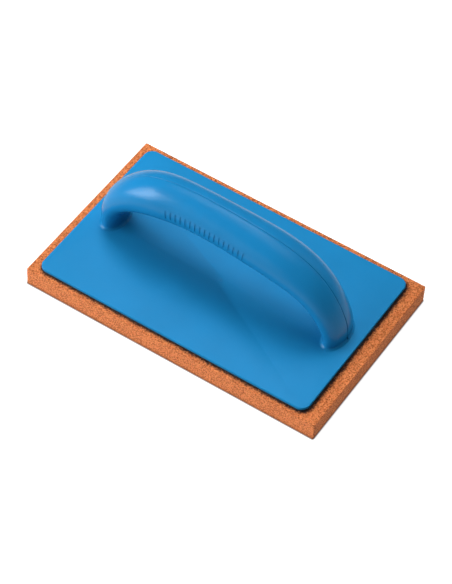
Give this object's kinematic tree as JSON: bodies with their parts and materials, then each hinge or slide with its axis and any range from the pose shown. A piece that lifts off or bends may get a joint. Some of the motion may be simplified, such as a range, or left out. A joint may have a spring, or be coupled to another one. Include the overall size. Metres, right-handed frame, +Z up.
{
  "type": "hand float",
  "caption": "Rectangular hand float: a thick sponge pad bonded under a thin moulded plate, with a lopsided arched grip made of hollow half shells.",
  "frame": {"origin": "middle of the sponge pad's flat working face", "axes": "+X along the float, towards the grip's long sloping end; +Y across it; +Z up from the working face to the grip"},
  "size_m": [0.24, 0.15, 0.0863],
  "materials": {
    "sponge": "matte open-cell sponge rubber",
    "adhesive": "matte cured contact cement",
    "plate_plastic": "satin moulded plastic",
    "grip_plastic": "satin moulded plastic",
    "screw_steel": "bright zinc"
  },
  "bodies": {
    "root": {"sponge_pad": "sponge", "adhesive_layer": "adhesive", "base_plate": "plate_plastic", "handle_front_shell": "grip_plastic", "handle_rear_shell": "grip_plastic", "screw_left_front": "screw_steel", "screw_left_rear": "screw_steel", "screw_right_front": "screw_steel", "screw_right_rear": "screw_steel"}
  },
  "joints": []
}
